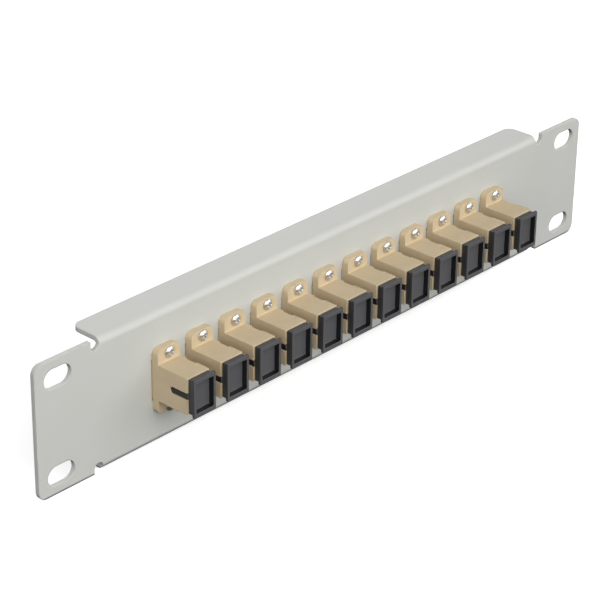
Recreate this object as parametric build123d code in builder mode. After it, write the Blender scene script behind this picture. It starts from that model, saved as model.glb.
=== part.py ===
from build123d import *
import os

# Ten-inch, one-unit fibre patch panel with a row of twelve capped simplex adapters.
# Millimetres. +X runs along the panel, +Z is up and the front faces -Y. The origin is the
# centre of the four rack slots, on the rear face of the ears that bears on the rack rails.

# Folded sheet: front, two ears and the flanges folded back along its top and bottom
panel_width = 254.0
panel_height = 44.0
sheet = 1.5
channel_depth = 12.0
bend_radius = 2.5
ear_width = 21.5
ear_corner = 3.0
flange_end_corner = 3.0
relief_width = 3.5
relief_depth = 3.3

# Rack slots, as far in from the ends of the ears as on every width of rack: 236.525 mm
# apart on a ten-inch panel
slot_inset = 8.7375
slot_pitch_z = 31.75
slot_length = 10.4
slot_height = 6.5

# Row of adapters
port_count = 12
port_pitch = 14.0
cutout_margin_x = 0.3
cutout_margin_z = 0.75

# Adapter housing: a front half with the whole flange and a rear half behind the sheet,
# welded together at the parting plane, which is the front face of the sheet
flange_height = 21.8
flange_thickness = 2.6
flange_corner = 2.0
body_width = 9.3
body_height = 12.2
mouth_reach = 14.6
port_width = 7.45
port_height = 9.1
key_width = 2.2
key_length = 7.1
side_recess_depth = 0.55
side_recess_start = 2.7
side_recess_length = 4.1
top_mark_width = 1.4
top_mark_length = 0.7
top_mark_depth = 0.25
top_mark_x = 3.3
top_mark_reach = 10.9

# Latch body in each half: mounting web, sleeve barrel and two spring hooks
web_thickness = 1.0
web_seat_x = 0.2
web_seat_z = 0.7
web_clearance = 0.1
barrel_diameter = 4.0
barrel_lip = 0.6
barrel_lip_bore = 2.8
hook_arm_width = 4.1
hook_arm_thickness = 0.7
hook_arm_height = 3.3
hook_arm_reach = 9.2
hook_height = 0.8
hook_flat = 0.7
hook_ramp = 0.8

# Split alignment sleeve
sleeve_diameter = 3.2
sleeve_bore = 2.5
sleeve_length = 11.4
sleeve_gap = 0.5
sleeve_clearance = 0.05

# Push-in dust cap
cap_clearance = 0.1
cap_seat_gap = 0.05
cap_collar_inset_x = 0.6
cap_collar_inset_z = 0.35
cap_collar_depth = 1.9
cap_rim_depth = 0.9
cap_rim_inset_x = 0.1
cap_rim_proud_z = 0.2
cap_border_x = 1.0
cap_border_z = 1.4
cap_pocket_depth = 1.9
cap_floor = 1.0
cap_wall = 0.8
cap_skirt_reach = 3.6
cap_finger_reach = 7.2
cap_finger_height = 6.0
cap_key_clearance = 0.15

# Pan-head screws and hexagon nuts that clamp each flange to the sheet
screw_pitch = 18.0
screw_diameter = 2.0
screw_clearance = 0.15
head_diameter = 3.6
head_height = 1.3
thread_overhang = 0.8
nut_across_flats = 4.0
nut_thickness = 1.6
nut_clearance = 0.03

# Places worked out from the sizes above
channel_length = panel_width - 2 * (ear_width + relief_width)
slot_pitch_x = panel_width - 2 * slot_inset
cutout_width = body_width + cutout_margin_x
cutout_height = body_height + 2 * cutout_margin_z
row = [(i - (port_count - 1) / 2) * port_pitch for i in range(port_count)]
screw_hole = screw_diameter + 2 * screw_clearance
beyond = 1.0

# Front panel: a channel folded from one sheet, with an ear at each end
with BuildPart() as front_panel:
    with BuildSketch(Plane.YZ):
        with BuildLine():
            FilletPolyline(
                (channel_depth - sheet, panel_height / 2),
                (-sheet, panel_height / 2),
                (-sheet, -panel_height / 2),
                (channel_depth - sheet, -panel_height / 2),
                radius=bend_radius,
            )
            offset(amount=sheet, side=Side.LEFT)
        make_face()
    extrude(amount=channel_length / 2, both=True)
    back_corners = front_panel.edges().filter_by(Axis.Z).group_by(Axis.Y)[-1]
    fillet(back_corners, radius=flange_end_corner)
    with BuildSketch(Plane.XZ):
        Rectangle(panel_width, panel_height)
        fillet(vertices(), radius=ear_corner)
        with GridLocations(0, panel_height, 1, 2):
            Rectangle(channel_length, 2 * bend_radius, mode=Mode.SUBTRACT)
        with GridLocations(channel_length + relief_width, panel_height, 2, 2):
            SlotOverall(2 * relief_depth, relief_width, rotation=90, mode=Mode.SUBTRACT)
        with GridLocations(slot_pitch_x, slot_pitch_z, 2, 2):
            SlotOverall(slot_length, slot_height, mode=Mode.SUBTRACT)
    extrude(amount=sheet)
    with BuildSketch(Plane.XZ):
        with GridLocations(port_pitch, 0, port_count, 1):
            Rectangle(cutout_width, cutout_height)
        with GridLocations(port_pitch, screw_pitch, port_count, 2):
            Circle(screw_hole / 2)
    extrude(amount=sheet, mode=Mode.SUBTRACT)

# Rear half of an adapter housing, modelled as the front one is, from the parting plane at
# y = 0 to a mouth at -Y: a rectangular box with a port and its key slot, and at the parting
# plane the wider seat of the latch body
with BuildPart() as housing_rear:
    with BuildSketch(Plane.XZ):
        Rectangle(body_width, body_height)
    extrude(amount=mouth_reach)
    with BuildSketch(Plane.XZ):
        Rectangle(port_width + 2 * web_seat_x, port_height + 2 * web_seat_z)
    extrude(amount=web_thickness, mode=Mode.SUBTRACT)
    with BuildSketch(Plane.XZ):
        Rectangle(port_width, port_height)
    extrude(amount=mouth_reach, mode=Mode.SUBTRACT)
    with BuildSketch(Plane.YZ.offset(-body_width / 2 - beyond)):
        with Locations((-mouth_reach, 0)):
            SlotOverall(2 * key_length, key_width)
    extrude(amount=body_width / 2 + beyond, mode=Mode.SUBTRACT)

# Front half: the same box with the flange flush with its sides, the screw holes, a shallow
# recess on the side away from the key slot and an ejector mark on the top
with BuildPart() as housing_front:
    add(housing_rear.part)
    with BuildSketch(Plane.XZ):
        RectangleRounded(body_width, flange_height, flange_corner)
        Rectangle(body_width, body_height, mode=Mode.SUBTRACT)
        with GridLocations(0, screw_pitch, 1, 2):
            Circle(screw_hole / 2, mode=Mode.SUBTRACT)
    extrude(amount=flange_thickness)
    recess_middle = flange_thickness + side_recess_start + side_recess_length / 2
    with BuildSketch(Plane.YZ.offset(body_width / 2)):
        with Locations((-recess_middle, 0)):
            Rectangle(side_recess_length, body_height)
    extrude(amount=-side_recess_depth, mode=Mode.SUBTRACT)
    with BuildSketch(Plane.XY.offset(body_height / 2)):
        with Locations((top_mark_x, -top_mark_reach)):
            Rectangle(top_mark_width, top_mark_length)
    extrude(amount=-top_mark_depth, mode=Mode.SUBTRACT)

# Latch body of one half: a web trapped at the parting plane, the barrel that holds half of
# the sleeve behind an inner lip, and two spring arms whose hooks grip a plug
web_width = port_width + 2 * (web_seat_x - web_clearance)
web_height = port_height + 2 * (web_seat_z - web_clearance)
sleeve_seat = sleeve_length / 2 + sleeve_clearance
with BuildPart() as latch_body:
    with BuildSketch(Plane.XZ):
        Rectangle(web_width, web_height)
    extrude(amount=web_thickness)
    with BuildSketch(Plane.XZ):
        Circle(barrel_diameter / 2)
    extrude(amount=sleeve_seat + barrel_lip)
    with BuildSketch(Plane.YZ):
        with BuildLine():
            Polyline(
                (0, hook_arm_height + hook_arm_thickness),
                (0, hook_arm_height),
                (hook_ramp + hook_flat - hook_arm_reach, hook_arm_height),
                (hook_ramp + hook_flat - hook_arm_reach, hook_arm_height - hook_height),
                (hook_ramp - hook_arm_reach, hook_arm_height - hook_height),
                (-hook_arm_reach, hook_arm_height),
                (-hook_arm_reach, hook_arm_height + hook_arm_thickness),
                close=True,
            )
        make_face()
        mirror(about=Plane.XZ)
    extrude(amount=hook_arm_width / 2, both=True)
    with BuildSketch(Plane.XZ):
        Circle(barrel_lip_bore / 2)
    extrude(amount=hook_arm_reach, mode=Mode.SUBTRACT)
    with BuildSketch(Plane.XZ):
        Circle(sleeve_diameter / 2 + sleeve_clearance)
    extrude(amount=sleeve_seat, mode=Mode.SUBTRACT)

# Split sleeve, shared by the two halves of an adapter and centred on the parting plane
with BuildPart() as split_sleeve:
    with BuildSketch(Plane.XZ):
        Circle(sleeve_diameter / 2)
        Circle(sleeve_bore / 2, mode=Mode.SUBTRACT)
        with Locations((sleeve_diameter / 2, 0)):
            Rectangle(sleeve_diameter, sleeve_gap, mode=Mode.SUBTRACT)
    extrude(amount=sleeve_length / 2, both=True)

# Dust cap: a collar against the mouth, a proud pull rim with a sunk face, and a hollow plug
# with two fingers that reach past the hooks, one of them with the rib that fills the key slot
collar_back = mouth_reach + cap_seat_gap
rim_back = collar_back + cap_collar_depth
pocket_floor = rim_back + cap_rim_depth - cap_pocket_depth
plug_width = port_width - 2 * cap_clearance
plug_height = port_height - 2 * cap_clearance
rim_width = body_width - 2 * cap_rim_inset_x
rim_height = body_height + 2 * cap_rim_proud_z
rib_height = key_width - 2 * cap_key_clearance
rib_reach = key_length - cap_key_clearance
with BuildPart() as dust_cap:
    with BuildSketch(Plane.XZ.offset(collar_back)):
        Rectangle(body_width - 2 * cap_collar_inset_x, body_height - 2 * cap_collar_inset_z)
    extrude(amount=cap_collar_depth)
    with BuildSketch(Plane.XZ.offset(rim_back)):
        Rectangle(rim_width, rim_height)
    extrude(amount=cap_rim_depth)
    with BuildSketch(Plane.XZ.offset(mouth_reach - cap_skirt_reach)):
        Rectangle(plug_width, plug_height)
    extrude(amount=cap_skirt_reach + cap_collar_depth)
    with BuildSketch(Plane.XZ.offset(mouth_reach - cap_finger_reach)):
        Rectangle(plug_width, cap_finger_height)
    extrude(amount=cap_finger_reach)
    with BuildSketch(Plane.YZ.offset(cap_key_clearance - body_width / 2)):
        with Locations((-mouth_reach, 0)):
            SlotOverall(2 * rib_reach, rib_height)
        with Locations((-mouth_reach - cap_seat_gap, 0)):
            Rectangle(2 * rib_reach, rib_height, align=(Align.MAX, Align.CENTER), mode=Mode.SUBTRACT)
    extrude(amount=(body_width - plug_width) / 2 + cap_wall - cap_key_clearance)
    with BuildSketch(Plane.XZ.offset(pocket_floor - cap_floor)):
        Rectangle(plug_width - 2 * cap_wall, plug_height - 2 * cap_wall)
    extrude(amount=-2 * cap_finger_reach, mode=Mode.SUBTRACT)
    with BuildSketch(Plane.XZ.offset(pocket_floor)):
        Rectangle(rim_width - 2 * cap_border_x, rim_height - 2 * cap_border_z)
    extrude(amount=cap_pocket_depth, mode=Mode.SUBTRACT)

# Pan-head screw, its bearing face at y = 0 and its head towards -Y
with BuildPart() as flange_screw:
    with BuildSketch(Plane.XZ):
        Circle(head_diameter / 2)
    extrude(amount=head_height)
    with BuildSketch(Plane.XZ):
        Circle(screw_diameter / 2)
    extrude(amount=-(flange_thickness + sheet + nut_thickness + thread_overhang))

# Hexagon nut, its bearing face at y = 0 and its body towards +Y
with BuildPart() as hex_nut:
    with BuildSketch(Plane.XZ):
        RegularPolygon(nut_across_flats / 2, side_count=6, major_radius=False)
        Circle(screw_diameter / 2 + nut_clearance, mode=Mode.SUBTRACT)
    extrude(amount=-nut_thickness)

os.makedirs("parts", exist_ok=True)
front_panel.part.label = "front_panel"
export_step(front_panel.part, "parts/front_panel.step")

# Like pieces of every port in a file of their own: the rear ones are turned half a turn
# about the row's axis, so that both key slots of an adapter open on the same side
half_turn = (180, 0, 0)
for number, x in enumerate(row, start=1):
    front_place = Location((x, -sheet, 0))
    rear_place = Location((x, -sheet, 0), half_turn)
    for piece, name, place in (
        (housing_front, "housing_front", front_place),
        (housing_rear, "housing_rear", rear_place),
        (dust_cap, "front_cap", front_place),
        (dust_cap, "rear_cap", rear_place),
    ):
        placed = piece.part.moved(place)
        placed.label = f"{name}_{number:02d}"
        export_step(placed, f"parts/{placed.label}.step")

# Small pieces that repeat along the row share a file for each kind
front_places = [Location((x, -sheet, 0)) for x in row]
rear_places = [Location((x, -sheet, 0), half_turn) for x in row]
screw_rows = (-screw_pitch / 2, screw_pitch / 2)
screw_places = [Location((x, -sheet - flange_thickness, z)) for x in row for z in screw_rows]
nut_places = [Location((x, 0, z)) for x in row for z in screw_rows]
for piece, name, places in (
    (latch_body, "latch_bodies_front", front_places),
    (latch_body, "latch_bodies_rear", rear_places),
    (split_sleeve, "alignment_sleeves", front_places),
    (flange_screw, "flange_screws", screw_places),
    (hex_nut, "hex_nuts", nut_places),
):
    with BuildPart() as group:
        with Locations(*places):
            add(piece.part)
    group.part.label = name
    export_step(group.part, f"parts/{name}.step")
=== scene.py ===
import math

import bmesh
import bpy
from mathutils import Matrix, Vector


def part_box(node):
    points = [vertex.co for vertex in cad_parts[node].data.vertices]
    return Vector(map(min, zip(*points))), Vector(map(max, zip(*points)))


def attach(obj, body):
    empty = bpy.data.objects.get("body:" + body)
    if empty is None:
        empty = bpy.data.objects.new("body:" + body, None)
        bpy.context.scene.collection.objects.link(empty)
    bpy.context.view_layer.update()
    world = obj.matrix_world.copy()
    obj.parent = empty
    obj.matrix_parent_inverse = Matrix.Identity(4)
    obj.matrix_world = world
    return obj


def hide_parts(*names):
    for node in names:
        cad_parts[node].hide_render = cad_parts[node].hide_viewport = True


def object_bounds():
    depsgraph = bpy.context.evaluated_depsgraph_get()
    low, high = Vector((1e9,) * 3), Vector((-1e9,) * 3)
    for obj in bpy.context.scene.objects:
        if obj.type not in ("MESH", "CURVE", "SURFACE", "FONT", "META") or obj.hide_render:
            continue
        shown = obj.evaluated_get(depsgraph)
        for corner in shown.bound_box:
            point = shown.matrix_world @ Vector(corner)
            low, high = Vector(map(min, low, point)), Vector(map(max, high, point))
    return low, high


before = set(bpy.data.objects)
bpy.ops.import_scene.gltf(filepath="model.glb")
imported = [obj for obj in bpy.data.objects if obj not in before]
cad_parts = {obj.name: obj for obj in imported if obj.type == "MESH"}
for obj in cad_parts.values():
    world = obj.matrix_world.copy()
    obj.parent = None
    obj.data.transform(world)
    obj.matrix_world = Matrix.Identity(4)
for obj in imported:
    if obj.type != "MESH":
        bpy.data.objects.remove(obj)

cad_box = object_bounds()
MM = 0.001

# Front panel: one sheet of 1.5 mm mild steel, punched, folded into a channel with two ears and
# then powder coated. The coat is light grey and satin, softens every sheared edge, and shows a
# fine orange peel up close.
sheared_edge = 0.3
coat_edge = 0.5
# Heights in millimetres where the painted dark line along the bottom edge begins and where it is
# full
shade_line_top = -21.3
shade_line_bottom = -21.6
peel = 0.9
peel_depth = 0.05
mottle = 14.0


def linear(code):
    """A colour from its sRGB hex code, as the linear value that a shader takes."""
    parts = [int(code[i:i + 2], 16) / 255 for i in (1, 3, 5)]
    return [c / 12.92 if c <= 0.04045 else ((c + 0.055) / 1.055) ** 2.4 for c in parts] + [1.0]


def add_node(tree, kind, links=None, values=None, **settings):
    """Adds a node: settings are its own, values go to its sockets, and links feed them."""
    made = tree.nodes.new(kind)
    for name, value in settings.items():
        setattr(made, name, value)
    for name, value in (values or {}).items():
        made.inputs[name].default_value = value
    for name, source in (links or {}).items():
        tree.links.new(source, made.inputs[name])
    return made


def start_material(name, **finish):
    """A new material with its shader's fixed values set, and the object's own coordinates."""
    material = bpy.data.materials.new(name)
    material.use_nodes = True
    tree = material.node_tree
    shader = tree.nodes["Principled BSDF"]
    for socket, value in finish.items():
        shader.inputs[socket.replace("_", " ")].default_value = value
    place = add_node(tree, "ShaderNodeTexCoord").outputs["Object"]
    return material, tree, shader, place


# Sprayed and baked polyester powder: satin, and thick enough to round the sheet's edges
powder_coat, tree, shader, place = start_material(
    "light_grey_powder_coat", IOR=1.5, Metallic=0.0, Specular_IOR_Level=0.5)


def noise(tree, place, size, **values):
    """Soft noise whose features are about size millimetres wide."""
    made = add_node(tree, "ShaderNodeTexNoise", {"Vector": place},
                    {"Scale": 1 / (size * MM), **values})
    return made.outputs["Fac"]


def blend(tree, factor, first, second):
    """A colour between two: the first a hex code or a socket, the second a hex code."""
    made = add_node(tree, "ShaderNodeMix", {"Factor": factor}, data_type="RGBA")
    if isinstance(first, str):
        made.inputs["A"].default_value = linear(first)
    else:
        tree.links.new(first, made.inputs["A"])
    made.inputs["B"].default_value = linear(second)
    return made.outputs["Result"]


# Pigment: a barely warmer and a barely cooler grey that drift into each other over a few
# centimetres, as sprayed powder does
grey = blend(tree, noise(tree, place, mottle, Detail=2.0), "#C6C7C1", "#CACBC6")


def compute(tree, operation, first, second, third=None):
    """One step of arithmetic, each value a socket or a number."""
    made = add_node(tree, "ShaderNodeMath", operation=operation)
    for index, value in enumerate((first, second, third)):
        if isinstance(value, (int, float)):
            made.inputs[index].default_value = value
        elif value is not None:
            tree.links.new(value, made.inputs[index])
    return made.outputs[0]


def coordinates(tree, vector):
    """The X, Y and Z of a vector."""
    return add_node(tree, "ShaderNodeSeparateXYZ", {"Vector": vector}).outputs


# Painted shade on the cut edges: where the rounded shading normal looks down, and in a strip along
# the very bottom of the sheet, the grey is darkened towards a dark grey. This paints a dark line
# under the ears and the lower bend.
rounded = add_node(tree, "ShaderNodeBevel", None, {"Radius": coat_edge * MM}, samples=8)
edge_facing = coordinates(tree, rounded.outputs["Normal"])["Z"]
painted_underside_shade = add_node(tree, "ShaderNodeMapRange", {"Value": edge_facing},
                       {"From Min": -0.15, "From Max": -0.6}).outputs["Result"]
painted_bottom_line = add_node(tree, "ShaderNodeMapRange", {"Value": coordinates(tree, place)["Z"]},
               {"From Min": shade_line_top * MM, "From Max": shade_line_bottom * MM}).outputs["Result"]
painted_edge_shade = compute(tree, "MAXIMUM", painted_underside_shade, painted_bottom_line)


def spread(tree, value, low, high):
    """A value from 0 to 1 spread over the range from low to high."""
    made = add_node(tree, "ShaderNodeMapRange", {"Value": value}, {"To Min": low, "To Max": high})
    return made.outputs["Result"]


def finish_surface(tree, shader, colour, roughness):
    """Feeds the shader's colour and roughness."""
    tree.links.new(colour, shader.inputs["Base Color"])
    tree.links.new(roughness, shader.inputs["Roughness"])


def texture_surface(tree, shader, height, strength, depth, normal=None):
    """Bumps of a depth in millimetres, over the surface or over a given normal."""
    links = {"Height": height}
    if normal is not None:
        links["Normal"] = normal
    bumps = add_node(tree, "ShaderNodeBump", links,
                     {"Strength": strength, "Distance": depth * MM})
    tree.links.new(bumps.outputs["Normal"], shader.inputs["Normal"])


# Orange peel: low rounded bumps just under a millimetre apart, with a finer grain on them
orange_peel = noise(tree, place, peel, Detail=3.0, Roughness=0.55)
# The base colour takes the painted edge shade, a dark grey, on down-facing edges and the bottom
# strip
finish_surface(tree, shader, blend(tree, painted_edge_shade, grey, "#747571"),
               spread(tree, orange_peel, 0.42, 0.56))
texture_surface(tree, shader, orange_peel, 0.16, peel_depth, rounded.outputs["Normal"])


def dress(name, material, edge, clamp=True):
    """Gives a CAD node its material and softens its edges by a real radius, in millimetres."""
    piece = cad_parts[name]
    for slot in piece.material_slots:
        slot.material = material
    # The facets of each flat face are joined first, so that the bevel meets only real edges
    weld = piece.modifiers.new("weld", "WELD")
    weld.merge_threshold = 0.002 * MM
    flat = piece.modifiers.new("flat_faces", "DECIMATE")
    flat.decimate_type = "DISSOLVE"
    flat.angle_limit = math.radians(1)
    soften = piece.modifiers.new("soft_edges", "BEVEL")
    soften.width = edge * MM
    soften.segments = 2
    soften.limit_method = "ANGLE"
    soften.angle_limit = math.radians(35)
    soften.loop_slide = False
    soften.use_clamp_overlap = clamp
    shade = piece.modifiers.new("flat_shading", "WEIGHTED_NORMAL")
    shade.keep_sharp = False


dress("front_panel", powder_coat, sheared_edge)

# Adapter housings: beige glass-filled polyester, moulded in two halves that are welded at the
# flange. The mould is lightly sparked, so the faces are matt with a fine grain, and every edge
# has a small radius.
port_count = 12
moulding_edge = 0.17
melt_flow = 5.0
spark_grain = 0.16
spark_depth = 0.02

# Glass-filled polyester off a sparked mould: matt, in soft clouds where the melt has flowed
beige, tree, shader, place = start_material(
    "beige_moulded_polyester", IOR=1.57, Metallic=0.0, Specular_IOR_Level=0.5)
clouds = noise(tree, place, melt_flow, Detail=3.0, Distortion=0.6)
grain = noise(tree, place, spark_grain, Detail=2.0)
finish_surface(tree, shader, blend(tree, clouds, "#C6B391", "#D3C0A0"),
               spread(tree, grain, 0.46, 0.62))
texture_surface(tree, shader, grain, 0.25, spark_depth)
for port in range(1, port_count + 1):
    dress(f"housing_front_{port:02d}", beige, moulding_edge, clamp=False)
    dress(f"housing_rear_{port:02d}", beige, moulding_edge, clamp=False)

# Latch bodies: the inner mouldings with the two spring hooks and the sleeve's barrel. They are
# the same beige polyester without glass, so they come out smoother and a little lighter.
latch_edge = 0.08
latch_flow = 3.0

# Unfilled polyester off a plain mould: a soft sheen, with small clouds
inner_beige, tree, shader, place = start_material(
    "beige_spring_polyester", IOR=1.57, Metallic=0.0, Specular_IOR_Level=0.5)
clouds = noise(tree, place, latch_flow, Detail=2.0)
finish_surface(tree, shader, blend(tree, clouds, "#CDBA97", "#D8C7A8"),
               spread(tree, clouds, 0.34, 0.46))
dress("latch_bodies_front", inner_beige, latch_edge)
dress("latch_bodies_rear", inner_beige, latch_edge)

# Alignment sleeves: phosphor bronze strip rolled into a split tube, then drawn to size. The
# drawing leaves fine bright lines along the tube.
sleeve_edge = 0.05
draw_line = 0.12
draw_line_length = 6.0

# Bare bronze as drawn: bright, with streaks along the tube
bronze, tree, shader, place = start_material("drawn_phosphor_bronze", Metallic=1.0)
across = 1 / (draw_line * MM)
stretched = add_node(tree, "ShaderNodeMapping", {"Vector": place},
                     {"Scale": (across, 1 / (draw_line_length * MM), across)})
lines = add_node(tree, "ShaderNodeTexNoise", {"Vector": stretched.outputs["Vector"]},
                 {"Scale": 1.0, "Detail": 2.0}).outputs["Fac"]
finish_surface(tree, shader, blend(tree, lines, "#C99B6B", "#DDB383"),
               spread(tree, lines, 0.18, 0.34))
dress("alignment_sleeves", bronze, sleeve_edge)

# Dust caps: soft black polyethylene, moulded in one piece and pushed into each port. The skin is
# satin and slightly waxy, with rounded edges that catch the light. The flanks of the pocket and the
# key rib are given a glossier finish. Every face that looks sideways, up or down is painted darker,
# and the pocket's and rib's flanks darker still, as painted shade.
cap_edge = 0.18
port_pitch = 14.0
middle_y = -1.5
mouth_reach = 14.6
pocket_reach = 15.6
pocket_half_width = 3.8
pocket_half_height = 5.1
rib_inner_x = 3.9
wax_grain = 0.35
wax_depth = 0.02

# Black polyethylene: a waxy satin skin, glossier on the pocket's and rib's flanks, with painted
# shade on the flanks
black_cap, tree, shader, place = start_material(
    "black_moulded_polyethylene", IOR=1.51, Metallic=0.0, Specular_IOR_Level=0.5)
skin = noise(tree, place, wax_grain, Detail=3.0)
# Where a point is in its own cap: aside from the port's axis, outwards from the middle between
# the front and the rear mouth, and above or below the axis
spot = coordinates(tree, place)
half_pitch = port_pitch / 2 * MM
from_port = compute(tree, "WRAP", compute(tree, "SUBTRACT", spot["X"], half_pitch),
                    half_pitch, -half_pitch)
aside = compute(tree, "ABSOLUTE", from_port, 0.0)
outward = compute(tree, "ABSOLUTE", compute(tree, "SUBTRACT", spot["Y"], middle_y * MM), 0.0)
level = compute(tree, "ABSOLUTE", spot["Z"], 0.0)
# Flanks are the faces that look sideways, up or down, and get painted shade. Those in the pocket or
# on the rib are glossier and get deeper painted shade.
facing = add_node(tree, "ShaderNodeNewGeometry").outputs["True Normal"]
frontal = compute(tree, "ABSOLUTE", coordinates(tree, facing)["Y"], 0.0)
shaded_flank = compute(tree, "LESS_THAN", frontal, 0.5)
pocket = compute(tree, "GREATER_THAN", outward, pocket_reach * MM)
for distance, limit in ((aside, pocket_half_width), (level, pocket_half_height)):
    pocket = compute(tree, "MULTIPLY", pocket,
                     compute(tree, "LESS_THAN", distance, limit * MM))
rib = compute(tree, "MULTIPLY", compute(tree, "LESS_THAN", outward, mouth_reach * MM),
              compute(tree, "GREATER_THAN", aside, rib_inner_x * MM))
glossy_and_shaded = compute(tree, "MULTIPLY", shaded_flank, compute(tree, "MAXIMUM", pocket, rib))
black = blend(tree, skin, "#545456", "#5C5C5E")
# Painted shade: every flank a darker black, the pocket's and rib's flanks the darkest
black = blend(tree, shaded_flank, black, "#3A3A3C")
black = blend(tree, glossy_and_shaded, black, "#171718")
sheen = add_node(tree, "ShaderNodeMix", {"Factor": glossy_and_shaded, "A": spread(tree, skin, 0.36, 0.5)},
                 {"B": 0.22}, data_type="FLOAT")
finish_surface(tree, shader, black, sheen.outputs["Result"])
texture_surface(tree, shader, skin, 0.15, wax_depth)
for port in range(1, port_count + 1):
    dress(f"front_cap_{port:02d}", black_cap, cap_edge)
    dress(f"rear_cap_{port:02d}", black_cap, cap_edge)

# Flange screws: M2 pan-head machine screws with a cross recess, cold headed from steel wire,
# thread rolled and nickel plated bright. Two clamp each flange to the sheet.
screw_rows = (-9.0, 9.0)
head_radius = 1.8
head_height = 1.3
head_round = 0.06
dome_height = 0.8
recess_width = 0.5
recess_reach = 1.05
recess_depth = 0.6
recess_flank = 0.12
recess_end = 0.35
shank_radius = 1.0
thread_root = 0.79
thread_height = 0.2
thread_pitch = 0.4
thread_length = 3.2
tip_length = 0.1
dulling_size = 0.3
turn_steps = 48
head_steps = 26
steps_per_pitch = 6
low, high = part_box("flange_screws")
head_face = low[1] / MM
head_base = head_face + head_height
shank_end = high[1] / MM
thread_start = shank_end - thread_length
screw_ports = [(i - (port_count - 1) / 2) * port_pitch for i in range(port_count)]
screw_places = [(x, 0, z) for x in screw_ports for z in screw_rows]


def lathed_copies(name, rings, places, material, smooth=True, closed=False):
    """One piece with a turned shape at every place. Each ring, a function of the turn, gives a
    radius and a Y, in millimetres, and closed shuts both ends."""
    mesh = bmesh.new()
    for place in places:
        rows = []
        for ring in rings:
            row = []
            for step in range(turn_steps):
                turn = 2 * math.pi * step / turn_steps
                radius, y = ring(turn)
                point = Vector((radius * math.cos(turn), y, radius * math.sin(turn)))
                row.append(mesh.verts.new((point + Vector(place)) * MM))
            rows.append(row)
        for first, second in zip(rows, rows[1:]):
            for step in range(turn_steps):
                after = (step + 1) % turn_steps
                mesh.faces.new((first[step], first[after], second[after], second[step]))
        if closed:
            mesh.faces.new(rows[0])
            mesh.faces.new(rows[-1])
    bmesh.ops.recalc_face_normals(mesh, faces=mesh.faces)
    for face in mesh.faces:
        face.smooth = smooth
    data = bpy.data.meshes.new(name)
    mesh.to_mesh(data)
    mesh.free()
    data.materials.append(material)
    piece = bpy.data.objects.new(name, data)
    bpy.context.scene.collection.objects.link(piece)
    return piece


def plain_ring(radius, y):
    """A round ring."""
    return lambda turn: (radius, y)


def recess(x, z):
    """Depth of the cross recess at a point of the head's face: two tapered slots."""
    depth = 0.0
    for along, across in ((abs(x), abs(z)), (abs(z), abs(x))):
        inside = min((recess_width / 2 - across) / recess_flank,
                     (recess_reach - along) / recess_end, 1.0)
        depth = max(depth, recess_depth * max(inside, 0.0))
    return depth


def head_ring(share):
    """A ring of the domed face at a share of the head's radius, sunk where the recess is."""
    def at(turn):
        radius = head_radius * share
        sunk = recess(radius * math.cos(turn), radius * math.sin(turn))
        return radius, head_face + dome_height * share ** 2.3 + sunk
    return at


def thread_ring(y):
    """A ring of the thread: its height runs round once for each pitch along the shank."""
    def at(turn):
        phase = (y / thread_pitch - turn / (2 * math.pi)) % 1.0
        return thread_root + thread_height * (1 - abs(2 * phase - 1)), y
    return at


# Nickel plate: bright, with faint dulling
nickel, tree, shader, place = start_material("bright_nickel_plate", Metallic=1.0)
shader.inputs["Base Color"].default_value = linear("#D9D8D4")
dulling = noise(tree, place, dulling_size, Detail=2.0)
tree.links.new(spread(tree, dulling, 0.24, 0.34), shader.inputs["Roughness"])

screw_rings = [head_ring(0.02 + 0.96 * k / head_steps) for k in range(head_steps + 1)]
screw_rings += [
    plain_ring(head_radius - 0.005, head_face + 0.82),
    plain_ring(head_radius, head_face + 0.9),
    plain_ring(head_radius, head_base - head_round),
    plain_ring(head_radius - head_round, head_base),
    plain_ring(shank_radius, head_base),
    plain_ring(shank_radius, head_base + 0.1),
    plain_ring(shank_radius - 0.02, thread_start - 0.05),
]
thread_step = thread_pitch / steps_per_pitch
thread_rows = int((thread_length - tip_length) / thread_step)
screw_rings += [thread_ring(thread_start + k * thread_step) for k in range(thread_rows)]
screw_rings += [plain_ring(0.8, shank_end - 0.08), plain_ring(0.7, shank_end)]
screws = lathed_copies("pan_head_screws", screw_rings, screw_places, nickel, closed=True)
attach(screws, "panel")
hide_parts("flange_screws")

# Nuts: M2 hexagon nuts behind the sheet, cut from bar and zinc plated. The plate is a cool
# satin grey, and both faces are chamfered so that the corners stop short of them.
nut_flats = 4.0
nut_bore = 1.0
bore_chamfer = 0.15
chamfer_start = nut_flats / 2 * 0.97
chamfer_angle = math.radians(30)
bloom_size = 0.6
low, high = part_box("hex_nuts")
nut_face = low[1] / MM
nut_back = high[1] / MM

# Zinc plate: cool and satin, with a soft bloom
zinc, tree, shader, place = start_material("satin_zinc_plate", Metallic=1.0)
bloom = noise(tree, place, bloom_size, Detail=3.0)
finish_surface(tree, shader, blend(tree, bloom, "#B9BCC1", "#CDCFD2"),
               spread(tree, bloom, 0.3, 0.45))


def flat_ring(face, inward):
    """A ring along the hexagon, set back from a face where the chamfer cuts its corners."""
    def at(turn):
        off_flat = (turn + math.pi / 6) % (math.pi / 3) - math.pi / 6
        radius = nut_flats / 2 / math.cos(off_flat)
        drop = max(0.0, radius - chamfer_start) * math.tan(chamfer_angle)
        return radius, face + inward * drop
    return at


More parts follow.
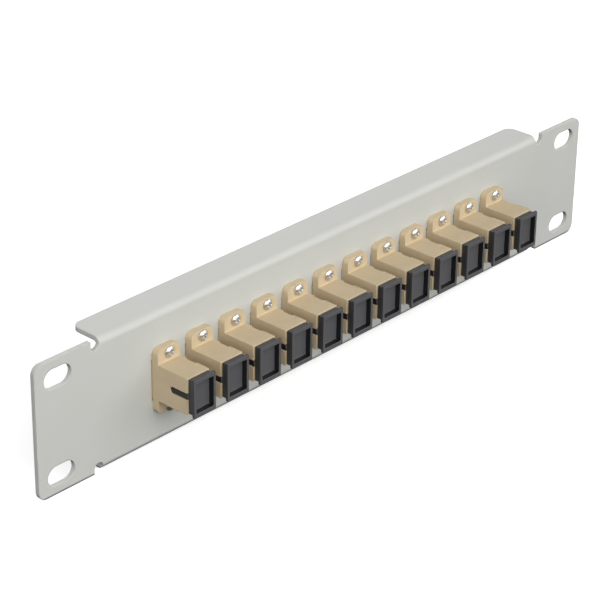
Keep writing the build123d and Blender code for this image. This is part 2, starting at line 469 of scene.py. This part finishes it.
nut_rings = [
    plain_ring(nut_bore, nut_face + bore_chamfer),
    plain_ring(nut_bore + bore_chamfer, nut_face),
    plain_ring(chamfer_start, nut_face),
    flat_ring(nut_face, 1),
    flat_ring(nut_back, -1),
    plain_ring(chamfer_start, nut_back),
    plain_ring(nut_bore + bore_chamfer, nut_back),
    plain_ring(nut_bore, nut_back - bore_chamfer),
    plain_ring(nut_bore, nut_face + bore_chamfer),
]
nuts = lathed_copies("hexagon_nuts", nut_rings, screw_places, zinc, smooth=False)
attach(nuts, "panel")
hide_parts("hex_nuts")

# Floor: a plain white studio sweep, wide enough to fill the picture behind the panel, which
# stands on the lower edge of its ears and channel. It throws no light or reflection back.
half = 8.0
floor_z = cad_box[0][2]

# White paper: matt, with a little light of its own so that it stays white to the far edge
ground, tree, shader, place = start_material("white_studio_floor", Roughness=0.9, IOR=1.45)
shader.inputs["Base Color"].default_value = linear("#E6E6E6")
shader.inputs["Emission Color"].default_value = linear("#FFFFFF")
shader.inputs["Emission Strength"].default_value = 0.58
corners = [(x, y, floor_z) for x, y in ((-half, -half), (half, -half), (half, half), (-half, half))]
floor_mesh = bpy.data.meshes.new("floor")
floor_mesh.from_pydata(corners, [], [(0, 1, 2, 3)])
floor_mesh.materials.append(ground)
floor = bpy.data.objects.new("floor", floor_mesh)
bpy.context.scene.collection.objects.link(floor)
floor.visible_diffuse = False
floor.visible_glossy = False

# Studio light: a large soft box above and in front, weaker ones from both sides and the rear,
# and a white surround that is brightest well above the horizon and dark below it.
world = bpy.data.worlds.new("white_surround")
world.use_nodes = True
tree = world.node_tree
direction = add_node(tree, "ShaderNodeTexCoord").outputs["Generated"]
height = compute(tree, "MULTIPLY_ADD", coordinates(tree, direction)["Z"], 0.5, 0.5)
bands = add_node(tree, "ShaderNodeValToRGB", {"Fac": height})
ramp = bands.color_ramp.elements
ramp[0].position, ramp[1].position = 0.32, 0.5
ramp.new(0.7)
ramp.new(0.9)
for stop, brightness in zip(ramp, (0.06, 0.34, 1.0, 0.03)):
    stop.color = (brightness, brightness, brightness, 1.0)
tree.links.new(bands.outputs["Color"], tree.nodes["Background"].inputs["Color"])
bpy.context.scene.world = world


def softbox(name, place, power, size):
    """A square soft box that faces the middle of the panel."""
    light = bpy.data.lights.new(name, "AREA")
    light.shape = "SQUARE"
    light.size = size
    light.energy = power
    stand = bpy.data.objects.new(name, light)
    stand.location = place
    stand.rotation_euler = (-Vector(place)).to_track_quat("-Z", "Y").to_euler()
    bpy.context.scene.collection.objects.link(stand)


softbox("key_softbox", (-0.35, -1.05, 0.85), 14.2, 1.2)
softbox("side_softbox", (0.8, -0.9, 0.6), 3.7, 1.0)
softbox("fill_softbox", (-1.1, -0.6, 0.3), 1.8, 0.6)
softbox("rear_softbox", (0.7, 1.2, 0.5), 6.0, 1.2)

# Camera: where the photograph was taken from, to the left, in front and above, found from the
# outline of the ten-inch panel. Distances are in millimetres, the focal length and the optical
# centre in pixels of the square picture.
picture = 608
azimuth = math.radians(-47.536)
elevation = math.radians(27.265)
roll = math.radians(0.684)
distance = 718.891
focal = 2302.112
centre = (293.368, 306.174)
target = Vector((-20.272, -1.5, 1.921))
back = Vector((math.sin(azimuth) * math.cos(elevation),
               -math.cos(azimuth) * math.cos(elevation), math.sin(elevation)))
level_right = Vector((math.cos(azimuth), math.sin(azimuth), 0.0))
level_up = back.cross(level_right)
right = math.cos(roll) * level_right + math.sin(roll) * level_up
up = math.cos(roll) * level_up - math.sin(roll) * level_right
lens = bpy.data.cameras.new("photo_camera")
lens.sensor_fit = "HORIZONTAL"
lens.sensor_width = 36.0
lens.lens = focal / picture * lens.sensor_width
lens.shift_x = (picture / 2 - centre[0]) / picture
lens.shift_y = (centre[1] - picture / 2) / picture
lens.clip_start = 0.01
lens.clip_end = 20.0
camera = bpy.data.objects.new("photo_camera", lens)
turned = Matrix((right, up, back)).transposed().to_4x4()
camera.matrix_world = Matrix.Translation((target + distance * back) * MM) @ turned
bpy.context.scene.collection.objects.link(camera)
bpy.context.scene.camera = camera
bpy.context.scene.view_settings.view_transform = "Standard"
